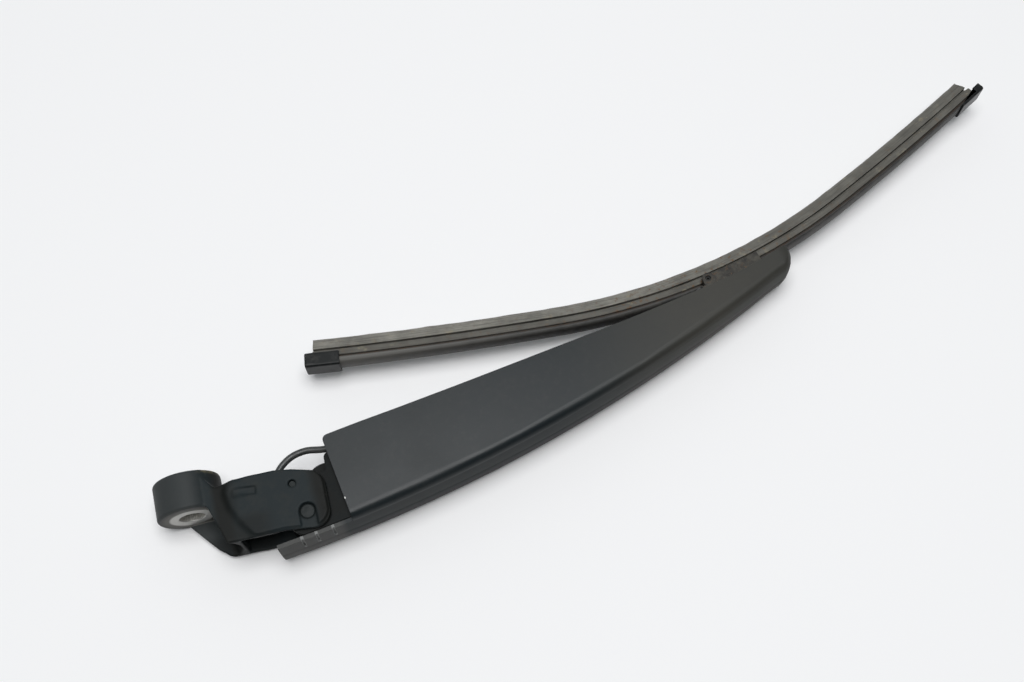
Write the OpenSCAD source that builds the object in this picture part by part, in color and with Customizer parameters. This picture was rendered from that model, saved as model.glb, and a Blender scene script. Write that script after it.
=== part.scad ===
// Rear window wiper arm with its blade, lying on its side.
// The spindle axis is Y: the nut goes on the -Y face of the boss, the window is towards +Y.
// The arm runs along +X and Z is its width. The origin is on the spindle axis at the nut's seat.

/* [Boss and neck] */
// Outside diameter of the spindle boss
boss_d = 27; // [24:0.5:30]
// Length of the boss along the spindle
boss_len = 15.5; // [14:0.5:20]
// Diameter of the straight land of the spindle bore
bore_d = 10; // [8:0.1:11]
// Length of the straight land, from the nut's seat
bore_land = 6; // [4:0.5:8]
// Diameter of the tapered bore at the window side
taper_d = 12.4; // [11.5:0.1:14]
// Width of the neck that joins the boss to the channel
neck_w = 22.6; // [20:0.2:23]

/* [Head channel] */
// Outside width over the two cheeks
head_w = 25; // [24:0.2:26]
// Thickness of a cheek
cheek_t = 2.8; // [2.2:0.1:3.2]
// Thickness of the wall that closes the channel towards the window
back_t = 2.5; // [1.5:0.1:3.5]
// Distance of the fold pivot from the spindle axis
pivot_x = 46; // [44:0.5:48]
// Distance of the fold pivot outwards from the nut's seat
pivot_y = 12.5; // [11.5:0.5:13.5]
// Diameter of the pivot pin
pivot_d = 6; // [5:0.1:6.4]
// Distance from the pivot to the pin of the spring link
lever = 12.8; // [12:0.1:13.5]
// Diameter of the pin of the spring link
link_pin_d = 3; // [2.4:0.1:3.4]

/* [Arm cover] */
// Angle of the arm to the X axis at rest
fold_rest = 8; // [6:0.5:10]
// Length from the pivot to the tip
arm_len = 229; // [225:0.5:240]
// Width of the cover near the head
cover_w = 26; // [25.6:0.1:27]
// Width of the cover at the tip
tip_w = 20; // [19.6:0.2:22]
// Wall of the cover
cover_t = 2.4; // [2:0.1:2.6]
// Radius of the long outer edges
edge_r = 4.2; // [3.4:0.1:5]
// Rise of the arch of the outward wall, from its lowest point to the tip
arch_rise = 33.2; // [26:0.1:34]
// Depth of the cover at the head, from the outward wall to the open side
cover_depth = 37; // [35:0.5:39]
// Length of the tongue that reaches past the pivot
tongue_len = 30.8; // [28:0.2:31]
// Width of the tongue
tongue_w = 18; // [16:0.2:18.6]
// Radius of the nose at the tip
nose_r = 10; // [8:0.5:13]

/* [Bracket and spring] */
// Sheet thickness of the inner bracket
bracket_t = 2; // [1.5:0.1:2.2]
// Distance from the pivot to the spring's anchor
anchor_u = 104; // [100:1:110]
// Length of the C-shaped link between its two holes
link_len = 34; // [32:0.5:38]
// Thickness of the link
link_t = 3; // [2.5:0.1:3.5]
// Outside diameter of the spring
spring_d = 9.5; // [8.5:0.1:10]
// Wire of the spring
wire_d = 2; // [1.6:0.1:2.2]

/* [Blade] */
// Length of the rubber from the lowest point of its curve to the head end
blade_in = 166; // [140:1:180]
// Length of the rubber from the lowest point of its curve to the tip end
blade_out = 161; // [140:1:180]
// Height of the blade from the lip to the back of the spoiler, at the lowest point of its curve
blade_h = 11.9; // [11.4:0.1:12.6]
// Width of the blade over the spoiler
blade_w = 8; // [7.6:0.2:8.6]
// Thickness of a steel strip
strip_t = 0.8; // [0.6:0.05:0.9]
// Diameter of the pin that carries the blade
blade_pin_d = 4; // [3.4:0.1:4.4]
// Length of the connector along the blade
connector_len = 26; // [24:1:30]

/* [Washer hose] */
// Outside diameter of the hose
hose_d = 2.8; // [2.4:0.1:3]

/* [Hidden] */
$fn = 64;
seat = 0.1;            // gap between parts that are fixed to each other
run = 0.06;            // radial gap of a pin in its bearing
black = "#1c1d1f";

// Points of an arc from angle a0 to a1 in n steps
function arc(c, r, a0, a1, n = 8) =
    [for (i = [0:n]) c + r * [cos(a0 + (a1 - a0) * i / n), sin(a0 + (a1 - a0) * i / n)]];

// Profile turned about the spindle axis, each point being [radius, distance along Y]
module turned(profile) {
    rotate([-90, 0, 0]) rotate_extrude($fn = 96) polygon(profile);
}

// Plate drawn in X and Y, between two heights
module plate(outline, z0, z1) {
    translate([0, 0, z0]) linear_extrude(z1 - z0) polygon(outline);
}

module pin_at(p, r, z0, z1) {
    translate([p[0], p[1], z0]) cylinder(r = r, h = z1 - z0);
}

// A plain pin with a small chamfer at both ends
module chamfered_pin(p, r, z0, z1, c = 0.4) {
    translate([p[0], p[1], 0]) rotate_extrude()
        polygon([[0, z0], [r - c, z0], [r, z0 + c], [r, z1 - c], [r - c, z1], [0, z1]]);
}

// Head values
boss_r = boss_d / 2;
pivot = [pivot_x, -pivot_y];
lever_angle = 107;
link_pin_at = pivot + lever * [cos(lever_angle), sin(lever_angle)];
cheek_out = head_w / 2;
cheek_in = cheek_out - cheek_t;
back_y = 7.3;          // outside of the wall towards the window
channel_x = 18.6;      // end of the channel at the neck
back_end_x = 30;       // the wall towards the window stops here, for the hose
pin_sink = 1.2;        // the pins stay this far below the near cheek
scoop_deep = 22;
scoop_flare = 0.22;    // the scoop widens this much for each mm outwards
web_t = 1.8;

cheek_outline = concat(
    [[14.9, 2], [16, -4], [19.6, -11.5]],
    arc([25.4, -14.2], 3.4, 215, 270, 4),
    [[36, -17.8]],
    arc([48.6, -13.4], 6.3, 265, 350, 8),
    arc([47.4, -3.6], 7.6, 0, 62, 7),
    [[43, 5.6], [36, 6.9]],
    arc([19.6, 3.4], 4.1, 88, 150, 5));

neck_outline = concat(
    [[-4.5, 0.6], [-3.6, 0], [1.2, -6.2], [6.2, -12.4]],
    arc([13.4, -11.6], 5.6, 215, 270, 6),
    [[26, -17.6], [26, -12], [20, back_y], [17.4, back_y]],
    arc([13.4, 11], 4.4, 292, 250, 5),
    [[8, 12], [0, 12]]);

module arm_head() {
    color(black) difference() {
        union() {
            turned(concat([[0, 0], [boss_r - 0.8, 0], [boss_r, 0.8]],
                arc([boss_r - 1.2, boss_len - 1.2], 1.2, 0, 90, 6), [[0, boss_len]]));
            plate(neck_outline, -neck_w / 2, neck_w / 2);
            plate(cheek_outline, -cheek_out + 0.8, cheek_out - 0.8);
            intersection() {
                plate(cheek_outline, -cheek_out, cheek_out);
                translate([0.9, 0.8, 0]) plate(cheek_outline, -cheek_out, cheek_out);
                translate([-0.9, 0.8, 0]) plate(cheek_outline, -cheek_out, cheek_out);
            }
        }
        // Scoop that leaves room for the nut and its socket. A web closes it at the far side
        intersection() {
            turned([[0, -scoop_deep], [boss_r + scoop_flare * scoop_deep, -scoop_deep], [boss_r, 0], [0, 0]]);
            translate([-scoop_deep, -scoop_deep, -neck_w / 2 + web_t]) cube([60, scoop_deep, 60]);
        }
        // Spindle bore: a straight land at the nut, then a taper that opens to the window
        turned([[0, -1], [bore_d / 2, -1], [bore_d / 2, bore_land],
            [taper_d / 2, boss_len], [taper_d / 2, boss_len + 1], [0, boss_len + 1]]);
        // Channel between the cheeks, open outwards and at the arm's end
        translate([channel_x, -30, -cheek_in]) cube([60, 30 + back_y - back_t, 2 * cheek_in]);
        translate([back_end_x, 0, -cheek_in]) cube([60, 20, 2 * cheek_in]);
        pin_at(pivot, pivot_d / 2, -20, 20);
        pin_at(link_pin_at, link_pin_d / 2, -20, 20);
        // Seat of the pivot pin's end, which runs out at the cheek's lower edge
        pin_at(pivot, pivot_d / 2 + 0.3, cheek_out - pin_sink, 20);
        translate([pivot[0] - pivot_d / 2 - 0.3, pivot[1] - 9, cheek_out - pin_sink + 0.3])
            cube([pivot_d + 0.6, 9, 5]);
        // Shallow pocket in the near cheek
        translate([18.6, 0.4, cheek_out - 0.7]) rotate([0, 0, -7]) cube([9.4, 3.3, 5]);
        // Seat of the hose nipple in the end of the channel
        translate([channel_x - 5, nipple_y, nipple_z]) rotate([0, 90, 0]) cylinder(d = 3.2, h = 10);
    }
}

module pivot_pin() {
    color("dimgray") chamfered_pin(pivot, pivot_d / 2 - 0.03, -cheek_out + seat, cheek_out - pin_sink);
}

module link_pin() {
    color("dimgray") chamfered_pin(link_pin_at, link_pin_d / 2 - 0.03, -cheek_out + pin_sink,
        cheek_out - pin_sink, 0.3);
}

nipple_y = -1;
nipple_z = 4;
nipple_stub = 1.6;
module hose_nipple() {
    color("black") translate([channel_x, nipple_y, nipple_z]) rotate([0, 90, 0])
        rotate_extrude($fn = 48) polygon([[0.5, -4.5], [1.57, -4.5], [1.57, 0], [2.4, 0.02],
            [2.4, 1], [1.2, 1], [1.2, nipple_stub], [0.5, nipple_stub]]);
}

// Places a part that is drawn in the arm's own frame: U along the arm from the pivot,
// V towards the window, Z across
module on_arm() {
    translate([pivot[0], pivot[1], 0]) rotate([0, 0, fold_rest]) children();
}
function to_arm(p) = let (d = p - pivot)
    [d[0] * cos(fold_rest) + d[1] * sin(fold_rest), -d[0] * sin(fold_rest) + d[1] * cos(fold_rest)];

// Cover: sections across the arm, from the tongue to the nose
arch_u = 16;           // the arch is lowest here
arch_r = ((arm_len - arch_u) * (arm_len - arch_u) + arch_rise * arch_rise) / (2 * arch_rise);
arch_v = -10.7;
open_v = arch_v + cover_depth;
side_u = 15;           // the side walls start here
taper_u = 80;          // the width tapers from here to the nose
nose_u = arm_len - nose_r;
rise_u = arm_len - 45; // the open edge rises from here, to shroud the blade
rise_r = 176;
function arch(u) = arch_v + arch_r - sqrt(arch_r * arch_r - (u - arch_u) * (u - arch_u));
function out_v(u) = u < nose_u ? arch(u)
    : arch(nose_u) + nose_r - sqrt(max(0, nose_r * nose_r - (u - nose_u) * (u - nose_u)));
dip = 1;               // the open edge lies this much lower along its middle
function ease(x) = let (c = min(1, max(0, x))) c * (2 - c);
function edge_v(u) = open_v - dip * ease((u - 28) / 60) * ease((rise_u - u) / 50)
    + (u < rise_u ? 0 : (u - rise_u) * (u - rise_u) / (2 * rise_r));
function wide(u) = cover_w / 2 - (cover_w - tip_w) / 2 * max(0, u - taper_u) / (arm_len - taper_u);
plan_r = 5;            // rounding of the tip, seen from outwards
function half_w(u) = wide(u) - (u < arm_len - plan_r ? 0
    : plan_r - sqrt(max(0, plan_r * plan_r - pow(u - arm_len + plan_r, 2))));

// One section, inset by t. The outer one has rounded corners, a slight crown and a fine crease
// along its middle
crown = 0.6;
crease = 0.35;
function section(u, t, top) = let (h = half_w(u) - t, v = out_v(u) + t, r = max(0.6, edge_r - t),
        k = t > 0 ? 0 : crown, c = t > 0 ? 0 : crease, z = h - r, m = z / 2 + 0.4)
    concat([[top, h]], arc([v + k + r, z], r, 90, 180, 6), [[v + k * 0.3, m]],
        [[v, 0.8], [v + c, 0], [v, -0.8]],
        [[v + k * 0.3, -m]], arc([v + k + r, -z], r, 180, 270, 6), [[top, -h]]);

// Solid through the sections at the stations in us
module loft(us, t, extra) {
    secs = [for (u = us) [for (p = section(u, t, edge_v(u) + extra)) [u, p[0], p[1]]]];
    n = len(secs[0]);
    m = len(us);
    polyhedron([for (s = secs) each s], concat(
        [[for (j = [0:n - 1]) j]],
        [for (i = [0:m - 2], j = [0:n - 1]) let (k = (j + 1) % n)
            [i * n + j, (i + 1) * n + j, (i + 1) * n + k, i * n + k]],
        [[for (j = [n - 1:-1:0]) (m - 1) * n + j]]), convexity = 6);
}

tongue_u = side_u - tongue_len;
inner_end = arm_len - 3.4;
wall_steps = 14;
wall_us = [for (i = [0:wall_steps]) side_u + 2.5 + (nose_u - side_u - 2.5) * i / wall_steps];
outer_us = concat([tongue_u, tongue_u + 14], wall_us,
    [for (a = [20:14:76]) nose_u + nose_r * sin(a)], [arm_len - 0.12]);
inner_us = concat([tongue_u - 2, 0], wall_us, [nose_u + 5, inner_end]);

blade_pin_u = arm_len - 28;
blade_pin_v = open_v - 1.3;
blade_pin_half = 7.6;
pin_slot_r = blade_pin_d / 2 + seat;
saddle_gap = 6.1;      // half of the room between the two saddles of the blade pin
corner_r = 2.2;
groove_us = [-6.2, -0.4, 6.4];
groove_t = 1.2;
rib_us = [40, 68, 96];
rib_t = 2;
blade_room = 0.9;      // room between the blade and the nose, at both sides

module arm_cover() {
    color(black) on_arm() difference() {
        union() {
            difference() {
                loft(outer_us, 0, 0);
                loft(inner_us, cover_t, 3);
            }
            // Saddles for the ends of the blade pin
            for (s = [-1, 1]) intersection() {
                translate([blade_pin_u - 4, out_v(blade_pin_u) + 0.8, s > 0 ? saddle_gap : -20])
                    cube([8, 14, 20 - saddle_gap]);
                loft(inner_us, 0.8, -1);
            }
            // Ribs that keep the bracket in the middle
            for (u = rib_us, s = [-1, 1]) intersection() {
                translate([u, -12, s > 0 ? bracket_out + seat : -20]) cube([rib_t, 22, 20 - bracket_out - seat]);
                loft(inner_us, 0.8, -1);
            }
        }
        // Only the tongue reaches past the side walls, narrow enough to fold into the head
        translate([tongue_u - 5, arch_v + cover_t + 0.9, -20]) cube([side_u - tongue_u + 5, 60, 40]);
        for (s = [0, 1]) mirror([0, 0, s]) translate([tongue_u - 5, -20, tongue_w / 2])
            cube([side_u - tongue_u + 5, 60, 20]);
        // The top corners of the side walls are round at the head
        translate([side_u, open_v, 0]) plate(concat([[-1, 1], [-1, -corner_r]],
            arc([corner_r, -corner_r], corner_r, 180, 90, 5), [[corner_r, 1]]), -20, 20);
        // Three grooves across the near half of the tongue
        for (u = groove_us) translate([u, -20, 1.6]) cube([0.9, 20 + arch(u) + groove_t, 20]);
        // Slots that take the blade pin
        translate([blade_pin_u, blade_pin_v, 0]) plate(concat(arc([0, 0], pin_slot_r, 180, 360, 16),
            [[pin_slot_r, 20], [-pin_slot_r, 20]]), -blade_pin_half - seat, blade_pin_half + seat);
        // The blade passes over the nose
        translate([arm_len - 12, open_v + 1.1, -blade_w / 2 - blade_room])
            cube([20, 20, blade_w + 2 * blade_room]);
    }
}

// Bracket: folded steel, its web on the cover's wall and its cheeks on the pivot
bracket_out = 9.3;
bracket_in = bracket_out - bracket_t;
bracket_end = anchor_u + 6;
anchor_at = [anchor_u, 6];
anchor_r = 2;
bush_wall = 0.9;

module bracket_outline() {
    polygon(concat(
        arc([0, 0], 9, 250, 62, 14),
        [[5.2, 13.2], [12, 13.6], [12.6, 17]],
        arc([15.2, 18.2], 2.4, 180, 40, 5),
        [[24, 16.4], [60, 12.6], [bracket_end, 10], [bracket_end, -9], [10, -9]]));
}

module bracket_arch(r, h) {
    translate([arch_u, arch_v + arch_r, -h]) cylinder(r = r, h = 2 * h, $fn = 720);
}

module arm_bracket() {
    web_r = arch_r - cover_t - 2 * seat;
    color("#2c2d2e") on_arm() difference() {
        intersection() {
            translate([0, 0, -bracket_out]) linear_extrude(2 * bracket_out) bracket_outline();
            bracket_arch(web_r, 20);
        }
        // Inside of the fold: over the web, and all of it at the pivot
        intersection() {
            translate([13, -20, -bracket_in]) cube([200, 60, 2 * bracket_in]);
            bracket_arch(web_r - bracket_t, 20);
        }
        translate([-20, -20, -bracket_in]) cube([34, 60, 2 * bracket_in]);
        pin_at([0, 0], pivot_d / 2 + run + bush_wall, -20, 20);
        pin_at(anchor_at, anchor_r + 0.03, -20, 20);
    }
}

module pivot_bushes() {
    color("ivory") on_arm() for (s = [0, 1]) mirror([0, 0, s]) rotate_extrude()
        polygon([[pivot_d / 2 + run - 0.03, bracket_in - 0.9],
            [pivot_d / 2 + run + 2.4, bracket_in - 0.9], [pivot_d / 2 + run + 2.4, bracket_in - 0.02],
            [pivot_d / 2 + run + bush_wall - 0.03, bracket_in - 0.02],
            [pivot_d / 2 + run + bush_wall - 0.03, bracket_out], [pivot_d / 2 + run - 0.03, bracket_out]]);
}

module spring_anchor() {
    color("silver") on_arm() chamfered_pin(anchor_at, anchor_r, -bracket_out - 0.1, bracket_out + 0.1, 0.3);
}

// Link and spring lie on the line from the link's pin to the anchor
link_from = to_arm(link_pin_at);
pull = anchor_at - link_from;
pull_len = norm(pull);
pull_angle = atan2(pull[1], pull[0]);
module on_pull() {
    on_arm() translate([link_from[0], link_from[1], 0]) rotate([0, 0, pull_angle]) children();
}

// The link's C-shaped bend clears the pivot pin when the arm is lifted
module link_outline() {
    inner = pivot_d / 2 + 1.2;
    outer = inner + 4.4;
    bend = [lever, -1];
    polygon(concat(
        arc([0, 0], 3.4, 290, 110, 12),
        arc(bend, outer, 150, 24, 12),
        arc([link_len, 0], 2.8, 90, -90, 8),
        [[lever + inner + 1.6, -2.8]],
        arc(bend, inner, 0, 180, 14)));
}

module spring_link() {
    color("#3a3b3c") on_pull() difference() {
        translate([0, 0, -link_t / 2]) linear_extrude(link_t) link_outline();
        pin_at([0, 0], link_pin_d / 2 + run - 0.03, -5, 5);
        pin_at([link_len, 0], wire_d / 2 + 0.7, -5, 5);
    }
}

// Tube swept along a list of points. Its side vector is carried along, so the ring never twists
function unit(v) = v / norm(v);
function tangent(p, i) = unit(p[min(i + 1, len(p) - 1)] - p[max(i - 1, 0)]);
function square_to(v, t) = unit(v - (v * t) * t);
module tube(path, r, sides, first) {
    n = len(path);
    side = [for (i = 0, v = square_to(first, tangent(path, 0)); i < n; i = i + 1,
        v = i < n ? square_to(v, tangent(path, i)) : v) v];
    rings = [for (i = [0:n - 1]) let (t = tangent(path, i), a = side[i], b = cross(a, t))
        for (k = [0:sides - 1]) path[i] + r * (cos(360 * k / sides) * a + sin(360 * k / sides) * b)];
    polyhedron(rings, concat([[for (k = [0:sides - 1]) k]],
        [for (i = [0:n - 2], k = [0:sides - 1]) let (m = (k + 1) % sides)
            [i * sides + k, (i + 1) * sides + k, (i + 1) * sides + m, i * sides + m]],
        [[for (k = [sides - 1:-1:0]) (n - 1) * sides + k]]), convexity = 10);
}

// Spring: close coils between two hooks, one path from end to end. The first hook stands across
// the link, through its hole, and the last one lies flat round the anchor pin
coil_r = (spring_d - wire_d) / 2;
coil_pitch = wire_d + 0.12;
link_hook_r = wire_d / 2 + 2.6;
anchor_hook_r = anchor_r + wire_d / 2 + 0.12;
coil_start = link_len + 2 * link_hook_r + 1;
coil_end = pull_len - 9;
coil_turns = floor((coil_end - coil_start) / coil_pitch);
coil_steps = 12;
coil_from = (coil_start + coil_end - coil_turns * coil_pitch) / 2;
function link_hook() = [for (a = [270:-30:90])
    [link_len + link_hook_r * (1 + cos(a)), 0, link_hook_r * sin(a)]];
function helix() = [for (i = [0:(coil_turns + 0.25) * coil_steps]) let (a = 360 * i / coil_steps)
    [coil_from + coil_pitch * i / coil_steps, coil_r * sin(a), coil_r * cos(a)]];
function anchor_hook() = [for (a = [90:-30:-120])
    [pull_len + anchor_hook_r * cos(a), anchor_hook_r * sin(a), 0]];

module tension_spring() {
    color("#55585a") on_pull() tube(concat(link_hook(), helix(), anchor_hook()), wire_d / 2, 6, [0, 1, 0]);
}

// The nozzle sits in its holder, on the near wall beside the blade pin
nozzle_at = [blade_pin_u - 10.8, blade_pin_v + 5.6];
holder_z = 6.4;
holder_t = 1.6;
nozzle_r = 1.1;

// Hose: from the nipple, in a free loop past the pivot, then along the near wall to the nozzle
hose_head = [[channel_x + nipple_stub + seat, nipple_y, nipple_z], [24, nipple_y, nipple_z], [28.5, 0.4, 4.2],
    [32.9, 3.8, 4.6], [36.2, 7.1, 5], [39.4, 10.5, 5], [43.9, 13.1, 5], [49.6, 13.9, 5.2], [55.7, 12.7, 5.6]];
hose_arm = concat([[19, 22, 6.4], [30, 20.6, 7.6], [50, 20.4, 7.8], [80, 20.4, 7.6], [110, 20.6, 7.2],
    [140, 21.2, 6.8]], [for (p = [[-28, -8.2, 6.4], [-14, -6.6, 6.3], [-8, -4.8, 6.8], [-4.9, -3.8, 7.1]])
    [nozzle_at[0] + p[0], nozzle_at[1] + p[1], p[2]]]);
function from_arm(p) = let (c = cos(fold_rest), s = sin(fold_rest))
    [pivot[0] + p[0] * c - p[1] * s, pivot[1] + p[0] * s + p[1] * c, p[2]];
// Smooth curve through the points, n steps between each two
function smooth(p, n) = let (e = len(p) - 1) concat([for (i = [0:e - 1], j = [0:n - 1]) let (t = j / n,
        a = p[max(i - 1, 0)], b = p[i], c = p[i + 1], d = p[min(i + 2, e)])
    0.5 * (2 * b + (c - a) * t + (2 * a - 5 * b + 4 * c - d) * t * t + (3 * b - a - 3 * c + d) * t * t * t)],
    [p[e]]);

module washer_hose() {
    path = smooth(concat(hose_head, [for (p = hose_arm) from_arm(p)]), 3);
    color("black") tube(path, hose_d / 2, 8, [0, 1, 0]);
}

module nozzle_holder() {
    color("black") on_arm() difference() {
        union() {
            translate([nozzle_at[0] - 4.2, nozzle_at[1] - 10.6, holder_z]) cube([5.6, 8, holder_t]);
            pin_at(nozzle_at, 2.6, holder_z, holder_z + holder_t);
            translate([nozzle_at[0] - 2.6, nozzle_at[1] - 4.6, holder_z]) cube([5.2, 4.6, holder_t]);
        }
        pin_at(nozzle_at, nozzle_r + 0.05, holder_z - 1, holder_z + holder_t + 1);
    }
}

module washer_nozzle() {
    color("black") on_arm() difference() {
        pin_at(nozzle_at, nozzle_r, holder_z, holder_z + 1.1);
        pin_at(nozzle_at, 0.4, holder_z - 1, holder_z + 2);
    }
}

module blade_pin() {
    color("silver") on_arm() chamfered_pin([blade_pin_u, blade_pin_v], blade_pin_d / 2,
        -blade_pin_half, blade_pin_half);
}

// Blade curve: three arcs that follow each other. Along it runs s, from the lowest point of the lip
low_at = [blade_pin_u - 13, blade_pin_v + 15.2];
low_angle = 0.8;
mid_r = 265;
in_r = 1600;
out_r = 1300;
in_angle = -12.7;
out_angle = 16.3;
function normal(a) = [-sin(a), cos(a)];
mid_c = low_at + mid_r * normal(low_angle);
in_c = mid_c + (in_r - mid_r) * normal(in_angle);
out_c = mid_c + (out_r - mid_r) * normal(out_angle);
rad = 180 / PI;
in_s = mid_r * (in_angle - low_angle) / rad;
out_s = mid_r * (out_angle - low_angle) / rad;
far = 400;
blade_arcs = [[in_c, in_r, in_angle, in_s, -far, in_s], [mid_c, mid_r, low_angle, 0, in_s, out_s],
    [out_c, out_r, out_angle, out_s, out_s, far]];
// Section drawn as [distance from the lip, Z], carried round one arc of the blade from s0 to s1
module along_blade(s0, s1) {
    on_arm() for (a = blade_arcs) {
        from = max(s0, a[4]);
        to = min(s1, a[5]);
        if (to > from) {
            a0 = a[2] + (from - a[3]) / a[1] * rad;
            a1 = a[2] + (to - a[3]) / a[1] * rad;
            translate([a[0][0], a[0][1], 0]) rotate([0, 0, a0 - 90])
                rotate_extrude(angle = a1 - a0, $fn = 540) translate([a[1], 0]) children();
        }
    }
}

strip_h = 9.4;
body_h = 6.6;          // the shoulder of the rubber starts here
foot_h = strip_h + strip_t + seat;
head_h = foot_h + 0.35; // the spoiler leaves room for the head of the rubber up to here
back_fall = 0.0065;    // the back of the spoiler falls this much for each mm towards the tip
function back_h(s) = blade_h - back_fall * s;
function fallen(h, s) = h <= head_h ? h : head_h + (h - head_h) * (back_h(s) - head_h) / (blade_h - head_h);
function both_sides(half) = concat(half, [for (i = [len(half) - 1:-1:0]) [half[i][0], -half[i][1]]]);
module mirrored_profile(half) {
    polygon(both_sides(half));
}

function arc_at(s) = s < in_s ? blade_arcs[0] : s > out_s ? blade_arcs[2] : blade_arcs[1];
// Point of the blade at s along the lip, h outwards from the lip and z across
function blade_point(s, h, z) = let (a = arc_at(s), angle = a[2] + (s - a[3]) / a[1] * rad,
        p = a[0] - (a[1] + h) * normal(angle)) [p[0], p[1], z];
// Long piece of the blade: its section in n steps from s0 to s1, lower where the back falls
module blade_sweep(loop, s0, s1, n) {
    m = len(loop);
    on_arm() polyhedron([for (i = [0:n], p = loop) let (s = s0 + (s1 - s0) * i / n)
        blade_point(s, fallen(p[0], s), p[1])],
        concat([[for (k = [m - 1:-1:0]) k]],
            [for (i = [0:n - 1], k = [0:m - 1]) let (j = (k + 1) % m)
                [i * m + k, i * m + j, (i + 1) * m + j, (i + 1) * m + k]],
            [[for (k = [0:m - 1]) n * m + k]]), convexity = 6);
}

module wiper_rubber() {
    color("#4a463f") blade_sweep(both_sides([[0, 0.3], [0.7, 0.34], [4.2, 2.3], [5.3, 2.5], [5.4, 0.7],
        [body_h - 0.1, 0.7], [body_h, 3.3], [body_h + 0.5, 3.8], [strip_h - 0.3, 3.8], [strip_h - seat, 3.6],
        [strip_h - seat, 0.8], [foot_h, 0.8], [foot_h, 1.8], [foot_h + 0.25, 1.7]]), -blade_in, blade_out, 41);
}

module strip(z0, z1) {
    color("silver") blade_sweep([[strip_h, z0], [strip_h, z1], [strip_h + strip_t, z1], [strip_h + strip_t, z0]],
        -blade_in + 1, blade_out - 1, 41);
}
module strip_near() { strip(3.2, 0.9); }
module strip_far() { strip(-0.9, -3.2); }

connector_s = 1;
module spoiler(s0, s1, n) {
    w = blade_w / 2;
    color("#2b2a29") blade_sweep(both_sides([[head_h, 1.9], [foot_h, 2], [foot_h, w],
        [blade_h - 1, w], [blade_h - 0.4, w - 0.5], [blade_h, w - 1.5]]), s0, s1, n);
}
module spoiler_inner() { spoiler(-blade_in + 1, connector_s - 1, 20); }
module spoiler_outer() { spoiler(connector_s + connector_len + 1, blade_out - 1, 18); }

ear_z = 5.7;
module blade_connector() {
    w = blade_w / 2 + 0.15;
    color("black") difference() {
        union() {
            along_blade(connector_s, connector_s + connector_len) difference() {
                mirrored_profile([[body_h + 0.3, ear_z - 0.4], [body_h + 0.7, ear_z],
                    [blade_h + 1, ear_z], [blade_h + 1.6, ear_z - 0.8]]);
                translate([0, -w]) square([foot_h, 2 * w]);
                translate([0, -2]) square([head_h, 4]);
            }
            on_arm() translate([blade_pin_u, blade_pin_v, 0]) plate([[-10, 2.9], [-8, -3.2], [8, -3.2],
                [12, 4.2], [1, 3.6]], -ear_z + 0.2, ear_z - 0.2);
        }
        on_arm() pin_at([blade_pin_u, blade_pin_v], blade_pin_d / 2 + run, -20, 20);
    }
}

// End caps: a shell over the spoiler and the body of the rubber
cap_len = 14.5;
cap_out = 3.5;
cap_w = 5;
module cap_outside(back) {
    mirrored_profile([[body_h + 0.8, cap_w - 0.7], [body_h + 1.4, cap_w], [back + 0.3, cap_w],
        [back + 0.9, cap_w - 0.7]]);
}
module cap_inside(back) {
    translate([0, -4.2]) square([back + 0.15, 8.4]);
}
module end_cap_inner() {
    s = -blade_in - cap_out;
    back = back_h(s + cap_out);
    color("black") difference() {
        along_blade(s, s + cap_len) cap_outside(back);
        along_blade(s + cap_out - seat, s + cap_len + 1) cap_inside(back);
    }
}

tip_len = 14.5;        // the broken cap is this long
tip_slip = 4.5;        // and it has slipped outwards this far
module end_cap_tip() {
    s = blade_out + tip_slip;
    back = back_h(s - tip_len);
    color("black") difference() {
        along_blade(s - tip_len, s) cap_outside(back);
        along_blade(s - tip_len - 1, s + 1) cap_inside(back);
        // Only the part at the back is left, with a ragged edge
        along_blade(s - tip_len - 1, s - 4) translate([0, -8]) square([head_h, 16]);
        along_blade(s - 4.2, s + 1) translate([0, -8]) square([foot_h - 2, 16]);
    }
}

arm_head();
pivot_pin();
link_pin();
hose_nipple();
spring_link();
tension_spring();
arm_cover();
arm_bracket();
pivot_bushes();
spring_anchor();
washer_hose();
nozzle_holder();
washer_nozzle();
blade_pin();
blade_connector();
wiper_rubber();
strip_near();
strip_far();
spoiler_inner();
spoiler_outer();
end_cap_inner();
end_cap_tip();
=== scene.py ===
import math
import bpy
import bmesh
from mathutils import Matrix, Vector, noise


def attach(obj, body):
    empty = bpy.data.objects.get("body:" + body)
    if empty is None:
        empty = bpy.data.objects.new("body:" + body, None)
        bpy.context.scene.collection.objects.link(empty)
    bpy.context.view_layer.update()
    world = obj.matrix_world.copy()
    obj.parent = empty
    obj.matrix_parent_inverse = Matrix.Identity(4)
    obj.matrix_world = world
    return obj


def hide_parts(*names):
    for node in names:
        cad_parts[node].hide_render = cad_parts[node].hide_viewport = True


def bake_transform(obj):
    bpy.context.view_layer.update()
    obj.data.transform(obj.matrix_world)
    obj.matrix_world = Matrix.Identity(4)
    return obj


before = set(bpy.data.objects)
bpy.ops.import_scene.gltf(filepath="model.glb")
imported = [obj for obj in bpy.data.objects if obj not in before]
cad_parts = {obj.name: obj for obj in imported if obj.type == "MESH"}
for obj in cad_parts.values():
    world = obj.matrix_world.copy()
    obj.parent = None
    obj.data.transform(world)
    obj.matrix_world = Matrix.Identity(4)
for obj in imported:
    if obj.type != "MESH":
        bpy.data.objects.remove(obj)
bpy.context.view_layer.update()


# The head is a die casting with black satin paint: a boss for the wiper spindle, a scooped neck
# and a channel between two cheeks. Its edges are rounded by the mould, the nut has rubbed a
# bright ring on the boss, and the paint has thinned on the boss's rear rim.
mm = 0.001


def feed(tree, socket, value):
    if isinstance(value, bpy.types.NodeSocket):
        tree.links.new(value, socket)
    else:
        socket.default_value = value


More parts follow.
